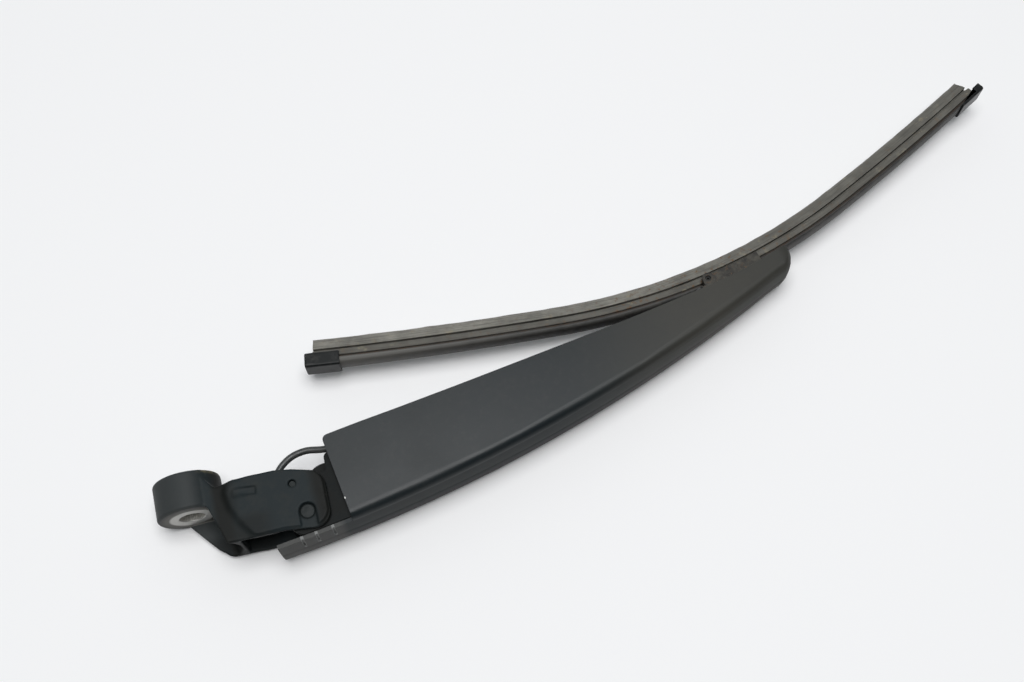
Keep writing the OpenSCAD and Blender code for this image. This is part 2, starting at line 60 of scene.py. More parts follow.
def node_in(tree, kind, settings=(), **values):
    node = tree.nodes.new(kind)
    for key, value in dict(settings).items():
        setattr(node, key, value)
    for key, value in values.items():
        socket = node.inputs[int(key[1:])] if key[1:].isdigit() else node.inputs[key]
        feed(tree, socket, value)
    return node


def calc(tree, operation, a, b=0.0, clamp=False):
    settings = {"operation": operation, "use_clamp": clamp}
    return node_in(tree, "ShaderNodeMath", settings, _0=a, _1=b).outputs[0]


def times(tree, a, b):
    return calc(tree, "MULTIPLY", a, b)


def ramped(tree, value, low, high, to_low=0.0, to_high=1.0):
    smooth = {"interpolation_type": "SMOOTHSTEP"}
    node = node_in(tree, "ShaderNodeMapRange", smooth, _0=value, _1=low, _2=high, _3=to_low, _4=to_high)
    return node.outputs[0]


def mixed(tree, mask, a, b):
    node = node_in(tree, "ShaderNodeMix", {"data_type": "RGBA"}, _0=mask)
    for socket, colour in ((node.inputs[6], a), (node.inputs[7], b)):
        feed(tree, socket, (*colour, 1) if isinstance(colour, tuple) else colour)
    return node.outputs[2]


def effect(name, inputs, outputs):
    tree = bpy.data.node_groups.new(name, "ShaderNodeTree")
    for label, value in inputs:
        socket = tree.interface.new_socket(label, in_out="INPUT", socket_type="NodeSocketFloat")
        socket.default_value = value
    for label in outputs:
        tree.interface.new_socket(label, in_out="OUTPUT", socket_type="NodeSocketFloat")
    return tree, tree.nodes.new("NodeGroupInput"), tree.nodes.new("NodeGroupOutput")


def use(tree, group, **values):
    node = tree.nodes.new("ShaderNodeGroup")
    node.node_tree = group
    for key, value in values.items():
        node.inputs[key].default_value = value
    return node.outputs[0]


# Fine moulded or painted grain, as a height
grain, g_in, g_out = effect("fine_grain", (("Size", 0.3),), ("Height",))
where = grain.nodes.new("ShaderNodeTexCoord").outputs["Object"]
per_metre = calc(grain, "DIVIDE", 1 / mm, g_in.outputs["Size"])
fine = node_in(grain, "ShaderNodeTexNoise", Vector=where, Scale=per_metre, Detail=2.0).outputs[0]
pebbled = {"feature": "SMOOTH_F1"}
pebbles = node_in(grain, "ShaderNodeTexVoronoi", pebbled, Vector=where, Scale=per_metre).outputs[0]
grain.links.new(calc(grain, "ADD", fine, times(grain, pebbles, 0.6)), g_out.inputs["Height"])

# Patches of dust and handling, as a mask
patches, p_in, p_out = effect("dull_patches", (("Size", 8.0), ("Low", 0.45), ("High", 0.7)), ("Mask",))
where = patches.nodes.new("ShaderNodeTexCoord").outputs["Object"]
per_metre = calc(patches, "DIVIDE", 1 / mm, p_in.outputs["Size"])
cloud = node_in(patches, "ShaderNodeTexNoise", Vector=where, Scale=per_metre, Detail=6.0, Roughness=0.65)
spread = node_in(patches, "ShaderNodeMapRange", _0=cloud.outputs[0], _1=p_in.outputs["Low"],
                 _2=p_in.outputs["High"])
patches.links.new(spread.outputs[0], p_out.inputs["Mask"])

# Thin lighter wear along convex edges, broken up, as a mask
rubbed, r_in, r_out = effect("rubbed_edges", (("Start", 0.53), ("Full", 0.62)), ("Mask",))
edge = rubbed.nodes.new("ShaderNodeNewGeometry").outputs["Pointiness"]
where = rubbed.nodes.new("ShaderNodeTexCoord").outputs["Object"]
broken = node_in(rubbed, "ShaderNodeTexNoise", Vector=where, Scale=700.0, Detail=4.0).outputs[0]
sharp = node_in(rubbed, "ShaderNodeMapRange", _0=edge, _1=r_in.outputs["Start"], _2=r_in.outputs["Full"])
worn = calc(rubbed, "MULTIPLY", sharp.outputs[0], ramped(rubbed, broken, 0.35, 0.6), True)
rubbed.links.new(worn, r_out.inputs["Mask"])


def finish(name, metallic=0.0):
    material = bpy.data.materials.new(name)
    material.use_nodes = True
    tree = material.node_tree
    shader = tree.nodes["Principled BSDF"]
    shader.inputs["Metallic"].default_value = metallic
    return material, tree, shader


def bumped(tree, shader, height, depth_mm, strength=1.0):
    bump = node_in(tree, "ShaderNodeBump", Strength=strength, Distance=depth_mm * mm, Height=height)
    tree.links.new(bump.outputs[0], shader.inputs["Normal"])


def axis_part(tree, which):
    where = tree.nodes.new("ShaderNodeTexCoord").outputs["Object"]
    return node_in(tree, "ShaderNodeSeparateXYZ", _0=where).outputs[which]


# Black paint: rubbed off on the nut's seat and in the bore, with painted shade darkening the neck, the
# cheeks' ends and the scoop
cast_paint, tree, shader = finish("cast_paint")
x, y, z = (axis_part(tree, i) for i in range(3))
black, dusted, boss_painted_sheen = (0.017, 0.023, 0.025), (0.030, 0.033, 0.032), (0.052, 0.056, 0.056)
painted_shade_black, thin_paint, edge_grey = (0.009, 0.009, 0.0075), (0.13, 0.115, 0.07), (0.1, 0.095, 0.085)
worn_grey, bore_metal, seat_metal = (0.17, 0.165, 0.15), (0.5, 0.49, 0.46), (0.52, 0.515, 0.49)
seat_fade, worn_fade, bore_fade = (9.4 * mm, 8.2 * mm), (13.6 * mm, 9.6 * mm), (6.6 * mm, 6.4 * mm)
boss_sheen_fade, neck_start, neck_end = (10 * mm, 2 * mm), (9.5 * mm, 12.5 * mm), (22 * mm, 15 * mm)
cheek_fade, scoop_depth, scoop_end = (47 * mm, 52 * mm), (-6 * mm, -11 * mm), (36 * mm, 26 * mm)
rim_depth, rim_side, rim_edge = (13.2 * mm, 15.0 * mm), (5 * mm, 10 * mm), (11 * mm, 12.4 * mm)
radius = calc(tree, "SQRT", calc(tree, "ADD", times(tree, x, x), times(tree, z, z)))
on_face = calc(tree, "LESS_THAN", calc(tree, "ABSOLUTE", y), 0.5 * mm)
in_seat = times(tree, on_face, ramped(tree, radius, *seat_fade))
round_seat = times(tree, on_face, ramped(tree, radius, *worn_fade))
in_bore = times(tree, ramped(tree, radius, *bore_fade), calc(tree, "GREATER_THAN", y, 0.3 * mm))
dust = use(tree, patches, Size=6.0, Low=0.46, High=0.78)
paint = mixed(tree, dust, black, dusted)
# Painted sheen: the boss is painted lighter across its middle, standing in for the sheen it reflects
paint = mixed(tree, times(tree, ramped(tree, x, *boss_sheen_fade), 0.7), paint, boss_painted_sheen)
# Painted shade: the neck, the ends of the cheeks and the scoop are painted near black where shade falls on
# them
on_neck = times(tree, ramped(tree, x, *neck_start), ramped(tree, x, *neck_end))
cheek_end = ramped(tree, x, *cheek_fade)
scoop = times(tree, ramped(tree, y, *scoop_depth), ramped(tree, x, *scoop_end))
painted_shade_mask = calc(tree, "MAXIMUM", calc(tree, "MAXIMUM", on_neck, cheek_end), times(tree, scoop, 0.6))
paint = mixed(tree, times(tree, painted_shade_mask, 0.85), paint, painted_shade_black)
window_edge = ramped(tree, y, *rim_depth)
far_side, outermost = ramped(tree, x, *rim_side), ramped(tree, radius, *rim_edge)
rim = times(tree, window_edge, times(tree, far_side, outermost))
speckle = use(tree, patches, Size=1.2, Low=0.42, High=0.58)
paint = mixed(tree, times(tree, rim, speckle), paint, thin_paint)
edges = times(tree, use(tree, rubbed, Start=0.56, Full=0.75), 0.25)
paint = mixed(tree, edges, paint, edge_grey)
paint = mixed(tree, times(tree, round_seat, 0.75), paint, worn_grey)
paint = mixed(tree, in_bore, paint, bore_metal)
tree.links.new(mixed(tree, in_seat, paint, seat_metal), shader.inputs["Base Color"])
metal = calc(tree, "MAXIMUM", times(tree, in_seat, 0.55), times(tree, in_bore, 0.3))
tree.links.new(metal, shader.inputs["Metallic"])
tree.links.new(ramped(tree, dust, 0.0, 1.0, 0.5, 0.62), shader.inputs["Roughness"])
shader.inputs["IOR"].default_value = 1.2
bumped(tree, shader, use(tree, grain, Size=0.35), 0.02, 0.7)


def copy_of(*nodes):
    merge_dist, flat_angle = 2e-6, math.radians(0.6)
    bm = bmesh.new()
    for name in nodes:
        bm.from_mesh(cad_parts[name].data)
    bmesh.ops.remove_doubles(bm, verts=bm.verts, dist=merge_dist)
    bmesh.ops.dissolve_limit(bm, angle_limit=flat_angle, verts=bm.verts, edges=bm.edges)
    return bm


def placed(name, data):
    thing = bpy.data.objects.new(name, data)
    bpy.context.scene.collection.objects.link(thing)
    return thing


def as_piece(bm, name, body, material, nodes=(), sharp_at=34):
    mesh = bpy.data.meshes.new(name)
    bm.to_mesh(mesh)
    bm.free()
    mesh.shade_smooth()
    mesh.set_sharp_from_angle(angle=math.radians(sharp_at))
    mesh.materials.append(material)
    piece = placed(name, mesh)
    if nodes:
        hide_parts(*nodes)
    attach(piece, body)
    return piece


def evaluated_mesh(thing):
    return bpy.data.meshes.new_from_object(thing.evaluated_get(bpy.context.evaluated_depsgraph_get()))


def applied(piece):
    settled = evaluated_mesh(piece)
    piece.modifiers.clear()
    piece.data = settled


def cast_form(piece, voxel, rounds):
    skin = piece.modifiers.new("skin", "REMESH")
    skin.mode = "VOXEL"
    skin.voxel_size = voxel
    soften = piece.modifiers.new("soften", "SMOOTH")
    soften.factor = 0.5
    soften.iterations = rounds
    applied(piece)
    piece.data.shade_smooth()


def flow_over(piece, name, weigh, rounds):
    group = piece.vertex_groups.new(name=name)
    for v in piece.data.vertices:
        weight = weigh(v.co)
        if weight > 0:
            group.add([v.index], weight, "REPLACE")
    flow = piece.modifiers.new("flow", "SMOOTH")
    flow.factor = 0.5
    flow.iterations = rounds
    flow.vertex_group = name
    applied(piece)


def neck_share(at):
    boss_edge, cheeks_x, boss_side = 11.5, 25, 8
    past_boss = min(1, max(0, (math.hypot(at.x, at.z) / mm - boss_edge) / 2))
    before_cheeks = min(1, max(0, (cheeks_x - at.x / mm) / 4))
    return past_boss * before_cheeks * (at.x > boss_side * mm)


casting = as_piece(copy_of("arm_head"), "head_casting", "head", cast_paint, ("arm_head",))
cast_form(casting, 0.34 * mm, 4)
flow_over(casting, "neck", neck_share, 40)


# The serrations of the spindle bore are broached into the casting, through the land under the
# nut's seat. They are bare metal with patches of dirt.
def points_in(geometry):
    return [v for v in geometry if isinstance(v, bmesh.types.BMVert)]


tooth_count, bore_r, tooth_h, sunk, root_h = 40, 5.0, 0.45, 0.05, 0.3
broach_from, broach_len, broach_t = 0.5, 5.3, 0.35
bm = bmesh.new()
for i in range(tooth_count * 4):
    turn = 2 * math.pi * i / (tooth_count * 4)
    r = bore_r + root_h if i % 4 > 1 else bore_r + sunk - tooth_h
    bm.verts.new((r * mm * math.cos(turn), broach_from * mm, r * mm * math.sin(turn)))
bm.verts.ensure_lookup_table()
inside = [bm.edges.new((bm.verts[i], bm.verts[(i + 1) % len(bm.verts)])) for i in range(len(bm.verts))]
deep = bmesh.ops.extrude_edge_only(bm, edges=inside)["geom"]
bmesh.ops.translate(bm, vec=(0, broach_len * mm, 0), verts=points_in(deep))
bmesh.ops.recalc_face_normals(bm, faces=bm.faces)
if bm.faces[0].normal.dot(bm.faces[0].calc_center_median() * -1) < 0:
    bmesh.ops.reverse_faces(bm, faces=bm.faces)
bmesh.ops.solidify(bm, geom=bm.faces[:], thickness=broach_t * mm)
broached, tree, shader = finish("broached_bore", 0.3)
dark = use(tree, patches, Size=1.5, Low=0.35, High=0.65)
tree.links.new(mixed(tree, dark, (0.66, 0.65, 0.61), (0.42, 0.4, 0.36)), shader.inputs["Base Color"])
shader.inputs["Roughness"].default_value = 0.45
as_piece(bm, "bore_serrations", "head", broached, sharp_at=20)


# The pivot pin and the link's pin are turned from bright steel and pressed through the cheeks.
# Their ends sit a little below the cheek and are painted over with it.
pin_face = 10.6
pin_metal, tree, shader = finish("pin_metal")
tarnish = use(tree, patches, Size=2.0, Low=0.4, High=0.7)
painted = calc(tree, "GREATER_THAN", calc(tree, "ABSOLUTE", axis_part(tree, 2)), pin_face * mm)
bare = mixed(tree, tarnish, (0.20, 0.20, 0.20), (0.10, 0.095, 0.085))
tree.links.new(mixed(tree, painted, bare, (0.019, 0.023, 0.023)), shader.inputs["Base Color"])
shader.inputs["Specular IOR Level"].default_value = 0.12
tree.links.new(times(tree, calc(tree, "SUBTRACT", 1.0, painted), 0.85), shader.inputs["Metallic"])
tree.links.new(ramped(tree, tarnish, 0.0, 1.0, 0.35, 0.6), shader.inputs["Roughness"])
bumped(tree, shader, use(tree, grain, Size=0.25), 0.01)


def soft_edges(bm, width, segments=2, from_angle=25):
    corners = [e for e in bm.edges if math.degrees(e.calc_face_angle(0)) > from_angle]
    bmesh.ops.bevel(bm, geom=corners, offset=width, offset_type="OFFSET", segments=segments,
                    profile=0.5, affect="EDGES", material=-1, clamp_overlap=True)


def rounded(name, nodes, body, material, width=0.25, segments=2, from_angle=30, sharp_at=34):
    bm = copy_of(*nodes)
    soft_edges(bm, width * mm, segments, from_angle)
    piece = as_piece(bm, name, body, material, nodes, sharp_at)
    even = piece.modifiers.new("even_shade", "WEIGHTED_NORMAL")
    even.keep_sharp = True
    applied(piece)


rounded("fold_pin", ("pivot_pin",), "head", pin_metal, 0.12)
rounded("spring_link_pin", ("link_pin",), "head", pin_metal, 0.1)


# The bracket is folded from 2 mm steel and dipped in black paint. Its cheeks carry two plastic
# bushes on the pivot pin, and a pin across them holds the end of the spring.
dipped_and_shaded, tree, shader = finish("dipped_black_painted_shade")
dull = use(tree, patches, Size=5.0, Low=0.42, High=0.75)
# Black paint, made darker still as painted shade of the recesses inside the arm where these parts sit
coat = mixed(tree, dull, (0.007, 0.009, 0.009), (0.015, 0.015, 0.014))
bare_edges = times(tree, use(tree, rubbed, Start=0.54, Full=0.66), 0.4)
coat = mixed(tree, bare_edges, coat, (0.06, 0.058, 0.053))
tree.links.new(coat, shader.inputs["Base Color"])
shader.inputs["Specular IOR Level"].default_value = 0.3
shader.inputs["IOR"].default_value = 1.2
tree.links.new(ramped(tree, dull, 0.0, 1.0, 0.4, 0.55), shader.inputs["Roughness"])
bumped(tree, shader, use(tree, grain, Size=0.5), 0.02)
rounded("inner_bracket", ("arm_bracket",), "arm", dipped_and_shaded, 0.3)

bush_white, tree, shader = finish("bush_white")
grease = use(tree, patches, Size=2.0, Low=0.4, High=0.7)
tree.links.new(mixed(tree, grease, (0.62, 0.6, 0.52), (0.3, 0.27, 0.2)), shader.inputs["Base Color"])
shader.inputs["Roughness"].default_value = 0.42
bumped(tree, shader, use(tree, grain, Size=0.4), 0.01)
rounded("bushes", ("pivot_bushes",), "arm", bush_white, 0.15)
rounded("anchor_pin", ("spring_anchor",), "arm", pin_metal, 0.15)


# The link is stamped from 3 mm steel and bent like a C, so that it clears the pivot pin when the
# arm is lifted. The spring is wound from 2 mm wire, with a hook at each end, and lightly oiled.
rounded("spring_hook_link", ("spring_link",), "link", dipped_and_shaded, 0.3)
fold_deg, pivot = 8.0, Vector((46.0, -12.5, 0.0))
fold = math.radians(fold_deg)


def from_arm(u, v, z=0.0):
    return pivot + Vector((u * math.cos(fold) - v * math.sin(fold),
                           u * math.sin(fold) + v * math.cos(fold), z))


def tube(name, path, diameter, sides, material):
    curve = bpy.data.curves.new(name, "CURVE")
    curve.dimensions = "3D"
    curve.bevel_depth = diameter / 2 * mm
    curve.bevel_resolution = sides // 2 - 2
    curve.use_fill_caps = True
    run = curve.splines.new("POLY")
    run.points.add(len(path) - 1)
    for point, at in zip(run.points, path):
        point.co = (*(at * mm), 1)
    made = placed(name, curve)
    mesh = evaluated_mesh(made)
    bpy.data.objects.remove(made)
    mesh.shade_smooth()
    mesh.materials.clear()
    mesh.materials.append(material)
    return placed(name, mesh)


wire, coil_d, link_len, steps = 2.0, 9.5, 34.0, 24
lever_r, lever_deg = 12.8, 107.0
lever_turn = math.radians(lever_deg - fold_deg)
link_from = Vector((lever_r * math.cos(lever_turn), lever_r * math.sin(lever_turn), 0))
anchor = Vector((104.0, 6.0, 0))
pull = (anchor - link_from).length
pull_dir = (anchor - link_from).normalized()
pull_side = Vector((-pull_dir.y, pull_dir.x, 0))


def on_pull(a, b, c):
    at = link_from + pull_dir * a + pull_side * b
    return from_arm(at.x, at.y, c)


hook_r, anchor_r, coil_r, pitch = 3.6, 3.12, (coil_d - wire) / 2, wire + 0.12
hook_sweep, anchor_sweep = 180, 210
first, last = link_len + 2 * hook_r + 1, pull - 9
turns = math.floor((last - first) / pitch)
first = (first + last - turns * pitch) / 2
path = []

# The hook in the link's eye, the coils, and the hook round the anchor pin
for i in range(steps + 1):
    turn = math.radians(270 - hook_sweep * i / steps)
    path.append(on_pull(link_len + hook_r * (1 + math.cos(turn)), 0, hook_r * math.sin(turn)))
for i in range(int((turns + 0.25) * steps) + 1):
    turn = 2 * math.pi * i / steps
    path.append(on_pull(first + pitch * i / steps, coil_r * math.sin(turn), coil_r * math.cos(turn)))
for i in range(steps + 1):
    turn = math.radians(90 - anchor_sweep * i / steps)
    path.append(on_pull(pull + anchor_r * math.cos(turn), anchor_r * math.sin(turn), 0))
oiled, tree, shader = finish("oiled_spring", 0.75)
film = use(tree, patches, Size=3.0, Low=0.4, High=0.7)
tree.links.new(mixed(tree, film, (0.09, 0.09, 0.095), (0.16, 0.12, 0.08)), shader.inputs["Base Color"])
tree.links.new(ramped(tree, film, 0.0, 1.0, 0.28, 0.5), shader.inputs["Roughness"])
spring = tube("pull_spring", path, wire, 12, oiled)
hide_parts("tension_spring")
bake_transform(spring)


# The cover is one long moulding in grained black plastic, open towards the window. It has a
# rounded nose and a tongue with three grooves that reaches past the pivot. Its broad face is
# duller than its edges, the tip holds pale dust, the grooves carry a painted highlight, and one edge is
# chipped.
groove_at, groove_w, groove_fade = (-6.2, -0.4, 6.4), 0.9, (0.75 * mm, 0.4 * mm)
chip_at, chip_fade, side_z = (0.0611, -0.0116, 0.0129), (0.6 * mm, 0.35 * mm), 1.4
tip_fade, broad_fade = (150 * mm, 225 * mm), (10.5 * mm, 8.5 * mm)
tongue_face, tongue_fade = -7.4, (13 * mm, 9 * mm)
deep_black, tip_grey, handled_black = (0.0090, 0.0135, 0.0155), (0.046, 0.0445, 0.038), (0.017, 0.02, 0.02)
chalk_grey, edge_pale, tongue_painted_reflection = (0.036, 0.036, 0.034), (0.09, 0.09, 0.085), (0.062, 0.062, 0.058)
groove_painted_highlight, chip_pale = (0.22, 0.225, 0.22), (0.6, 0.6, 0.57)
moulded, tree, shader = finish("moulded_black")
x, y, z = (axis_part(tree, i) for i in range(3))
out = calc(tree, "SUBTRACT", x, pivot.x * mm)
side = calc(tree, "ADD", y, -pivot.y * mm)
along = calc(tree, "ADD", times(tree, out, math.cos(fold)), times(tree, side, math.sin(fold)))
inward = calc(tree, "SUBTRACT", times(tree, side, math.cos(fold)), times(tree, out, math.sin(fold)))
handled = use(tree, patches, Size=30.0, Low=0.4, High=0.75)
body = mixed(tree, ramped(tree, x, *tip_fade), deep_black, tip_grey)
body = mixed(tree, times(tree, handled, 0.4), body, handled_black)
chalk = times(tree, use(tree, patches, Size=3.0, Low=0.5, High=0.8), 0.2)
body = mixed(tree, chalk, body, chalk_grey)
worn = times(tree, use(tree, rubbed, Start=0.6, Full=0.8), 0.15)
body = mixed(tree, worn, body, edge_pale)
# Painted reflection: the outer face of the tongue is painted lighter, standing in for the light it catches
# from the table
outer_face = calc(tree, "LESS_THAN", inward, tongue_face * mm)
on_tongue = times(tree, outer_face, ramped(tree, along, *tongue_fade))
body = mixed(tree, times(tree, on_tongue, 0.8), body, tongue_painted_reflection)
# Painted highlight: the tongue's three grooves are painted pale, standing in for the light along their edges
grooved = 0.0
for groove_u in groove_at:
    off = calc(tree, "ABSOLUTE", calc(tree, "SUBTRACT", along, (groove_u + groove_w / 2) * mm))
    grooved = calc(tree, "MAXIMUM", grooved, ramped(tree, off, *groove_fade))
grooved = times(tree, times(tree, grooved, on_tongue), calc(tree, "GREATER_THAN", z, side_z * mm))
body = mixed(tree, times(tree, grooved, 0.9), body, groove_painted_highlight)
chip = node_in(tree, "ShaderNodeVectorMath", {"operation": "DISTANCE"}, _1=chip_at,
               _0=tree.nodes.new("ShaderNodeTexCoord").outputs["Object"]).outputs["Value"]
body = mixed(tree, ramped(tree, chip, *chip_fade), body, chip_pale)
tree.links.new(body, shader.inputs["Base Color"])
shader.inputs["IOR"].default_value = 1.36
broad_face = ramped(tree, calc(tree, "ABSOLUTE", z), *broad_fade)
edge_dull = ramped(tree, handled, 0.0, 1.0, 0.36, 0.43)
dullness = calc(tree, "MAXIMUM", edge_dull, times(tree, broad_face, 0.62))
tree.links.new(dullness, shader.inputs["Roughness"])
bumped(tree, shader, use(tree, grain, Size=0.45), 0.025, 0.7)
rounded("cover_shell", ("arm_cover",), "arm", moulded, 0.3, from_angle=50, sharp_at=38)


# The washer hose is black rubber. It leaves the nipple in the head, rises in a free loop past the
# pivot and runs under the cover to the nozzle, whose bracket is aged plastic. The pin beside the
# bracket carries the blade.
hose_head = [(20.3, -1, 4), (24, -1, 4), (28.5, 0.4, 4.2), (32.9, 3.8, 4.6), (36.2, 7.1, 5), (39.4, 10.5, 5),
             (43.9, 13.1, 5), (49.6, 13.9, 5.2), (55.7, 12.7, 5.6)]
hose_arm = [(19, 22, 6.4), (30, 20.6, 7.6), (50, 20.4, 7.8), (80, 20.4, 7.6), (110, 20.6, 7.2),
            (140, 21.2, 6.8), (162.2, 22.4, 6.4), (176.2, 24, 6.3), (182.2, 25.8, 6.8), (185.3, 26.8, 7.1)]
held = [Vector(p) for p in hose_head] + [from_arm(*p) for p in hose_arm]
hose_d, steps_between = 2.8, 10


def smooth_run(points, steps):
    ends = [points[0]] + points + [points[-1]]
    run = []
    for a, b, c, d in zip(ends, ends[1:], ends[2:], ends[3:]):
        for i in range(steps):
            t = i / steps
            run.append((2 * b + (c - a) * t + (2 * a - 5 * b + 4 * c - d) * t * t
                        + (3 * b - a - 3 * c + d) * t ** 3) * 0.5)
    return run + [points[-1]]


hose_skin, tree, shader = finish("hose_skin")
bloom = use(tree, patches, Size=2.5, Low=0.42, High=0.72)
tree.links.new(mixed(tree, bloom, (0.032, 0.035, 0.035), (0.06, 0.06, 0.056)), shader.inputs["Base Color"])
tree.links.new(ramped(tree, bloom, 0.0, 1.0, 0.35, 0.6), shader.inputs["Roughness"])
bumped(tree, shader, use(tree, grain, Size=0.3), 0.015)
hose = tube("hose_run", smooth_run(held, steps_between), hose_d, 20, hose_skin)
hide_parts("washer_hose")
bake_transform(hose)

aged, tree, shader = finish("aged_plastic")
caked = use(tree, patches, Size=4.0, Low=0.38, High=0.66)
tone = mixed(tree, caked, (0.018, 0.017, 0.0155), (0.072, 0.067, 0.055))
rusted = use(tree, patches, Size=1.6, Low=0.58, High=0.66)
tree.links.new(mixed(tree, rusted, tone, (0.1, 0.06, 0.032)), shader.inputs["Base Color"])
shader.inputs["Roughness"].default_value = 0.6
shader.inputs["Specular IOR Level"].default_value = 0.3
bumped(tree, shader, use(tree, grain, Size=0.6), 0.03)

smooth_black, tree, shader = finish("smooth_black")
scuffs = use(tree, patches, Size=3.0, Low=0.48, High=0.75)
plastic = mixed(tree, scuffs, (0.014, 0.0155, 0.0155), (0.034, 0.034, 0.032))
tree.links.new(plastic, shader.inputs["Base Color"])
tree.links.new(ramped(tree, scuffs, 0.0, 1.0, 0.3, 0.5), shader.inputs["Roughness"])
shader.inputs["Specular IOR Level"].default_value = 0.15
bumped(tree, shader, use(tree, grain, Size=0.6), 0.012)
rounded("nipple", ("hose_nipple",), "head", smooth_black, 0.12)
rounded("nozzle_bracket", ("nozzle_holder",), "arm", aged, 0.2)
rounded("nozzle", ("washer_nozzle",), "arm", smooth_black, 0.1)
rounded("blade_cross_pin", ("blade_pin",), "arm", pin_metal, 0.15)


# The blade's rubber is one extrusion: a thin lip, a wedge, a neck and a shoulder that holds the
# two steel strips. It is old: grey with dust, speckled with rust brown near the connector, and
# its lip has gone wavy. It is made straight here and then bent to its curve.
low, curve_r = Vector((188.0, 40.2)), {"in": 1600.0, "mid": 265.0, "out": 1300.0}
turn_low, turn_in, turn_out = math.radians(0.8), math.radians(-12.7), math.radians(16.3)
s_in, s_out = curve_r["mid"] * (turn_in - turn_low), curve_r["mid"] * (turn_out - turn_low)


def across(turn):
    return Vector((-math.sin(turn), math.cos(turn)))


centre = low + curve_r["mid"] * across(turn_low)
centre_in = centre + (curve_r["in"] - curve_r["mid"]) * across(turn_in)
centre_out = centre + (curve_r["out"] - curve_r["mid"]) * across(turn_out)
arcs = {"mid": (centre, curve_r["mid"], turn_low, 0.0),
        "in": (centre_in, curve_r["in"], turn_in, s_in),
        "out": (centre_out, curve_r["out"], turn_out, s_out)}


def on_blade(s, h, z):
    c, r, turn0, s0 = arcs["in" if s < s_in else "out" if s > s_out else "mid"]
    at = c - (r + h) * across(turn0 + (s - s0) / r)
    return from_arm(at.x, at.y, z) * mm


def straight_bar(loop, s0, s1):
    bm = bmesh.new()
    end = bm.faces.new([bm.verts.new((s0, -h, z)) for h, z in loop])
    swept = bmesh.ops.extrude_face_region(bm, geom=[end], use_keep_orig=True)["geom"]
    bmesh.ops.translate(bm, vec=(s1 - s0, 0, 0), verts=points_in(swept))
    bmesh.ops.recalc_face_normals(bm, faces=bm.faces)
    return bm


def cut_along(bm, step):
    s0, s1 = min(v.co.x for v in bm.verts), max(v.co.x for v in bm.verts)
    count = max(1, round((s1 - s0) / step))
    for i in range(1, count):
        bmesh.ops.bisect_plane(bm, geom=bm.verts[:] + bm.edges[:] + bm.faces[:], dist=1e-5,
                               plane_co=(s0 + (s1 - s0) * i / count, 0, 0), plane_no=(1, 0, 0))


blade_in, blade_out, blade_h, strip_t, strip_h, body_h = 166.0, 161.0, 11.9, 0.8, 9.4, 6.6
foot, back_fall = strip_h + strip_t + 0.1, 0.0065
head_h = foot + 0.35


def fallen(h, s):
    if h <= head_h:
        return h
    return head_h + (h - head_h) * (blade_h - back_fall * s - head_h) / (blade_h - head_h)


def bent(bm, step=2.0):
    cut_along(bm, step)
    along = bm.loops.layers.uv.new("along_blade")
    for face in bm.faces:
        for corner in face.loops:
            corner[along].uv = (corner.vert.co.x * mm, -corner.vert.co.y * mm)
    for v in bm.verts:
        v.co = on_blade(v.co.x, fallen(-v.co.y, v.co.x), v.co.z)
    return bm


def both_sides(half):
    return list(half) + [(h, -z) for h, z in reversed(half)]


section = both_sides([(0, 0.3), (0.7, 0.34), (4.2, 2.3), (5.3, 2.5), (5.4, 0.7), (body_h - 0.1, 0.7),
                      (body_h, 3.3), (body_h + 0.5, 3.8), (strip_h - 0.3, 3.8), (strip_h - 0.1, 3.6),
                      (strip_h - 0.1, 0.8), (foot, 0.8), (foot, 1.8), (foot + 0.25, 1.7)])
pale_grey, dust_grey, lip_grey = (0.135, 0.131, 0.115), (0.27, 0.26, 0.225), (0.2, 0.195, 0.18)
back_black, streak_black = (0.05, 0.047, 0.039), (0.055, 0.052, 0.045)
crust_tan, rust_brown = (0.24, 0.215, 0.15), (0.12, 0.07, 0.034)
shoulder_fade, lip_fade, tip_half = (5.2 * mm, 5.7 * mm), (1.4 * mm, 0.2 * mm), (-60 * mm, 60 * mm)
rubber, tree, shader = finish("old_rubber")
place = tree.nodes.new("ShaderNodeUVMap")
place.uv_map = "along_blade"
split = node_in(tree, "ShaderNodeSeparateXYZ", _0=place.outputs[0])
s, h = split.outputs[0], split.outputs[1]
dusty = use(tree, patches, Size=9.0, Low=0.3, High=0.7)
tone = mixed(tree, dusty, pale_grey, dust_grey)
on_shoulder = ramped(tree, h, *shoulder_fade)
towards_tip = times(tree, ramped(tree, s, *tip_half), 0.85)
darker = calc(tree, "MAXIMUM", on_shoulder, towards_tip)
tone = mixed(tree, times(tree, darker, 0.62), tone, back_black)
drawn_out = node_in(tree, "ShaderNodeCombineXYZ", _0=times(tree, s, 60.0), _1=times(tree, h, 1800.0))
streak = node_in(tree, "ShaderNodeTexNoise", {"noise_dimensions": "2D"}, Vector=drawn_out.outputs[0],
                 Scale=1.0, Detail=3.0).outputs[0]
streaky = times(tree, ramped(tree, streak, 0.45, 0.7), 0.5)
tone = mixed(tree, streaky, tone, streak_black)
tone = mixed(tree, times(tree, ramped(tree, h, *lip_fade), 0.35), tone, lip_grey)
near_pin = times(tree, ramped(tree, s, -70 * mm, -20 * mm), ramped(tree, s, 70 * mm, 20 * mm))
crust = times(tree, use(tree, patches, Size=5.0, Low=0.6, High=0.7), 0.7)
tone = mixed(tree, crust, tone, crust_tan)
rust_share = calc(tree, "ADD", 0.3, times(tree, near_pin, 0.7))
rust = times(tree, use(tree, patches, Size=2.2, Low=0.56, High=0.66), rust_share)
tone = mixed(tree, rust, tone, rust_brown)
tree.links.new(tone, shader.inputs["Base Color"])
shader.inputs["Roughness"].default_value = 0.78
bumped(tree, shader, calc(tree, "ADD", use(tree, grain, Size=0.5), streak), 0.05)

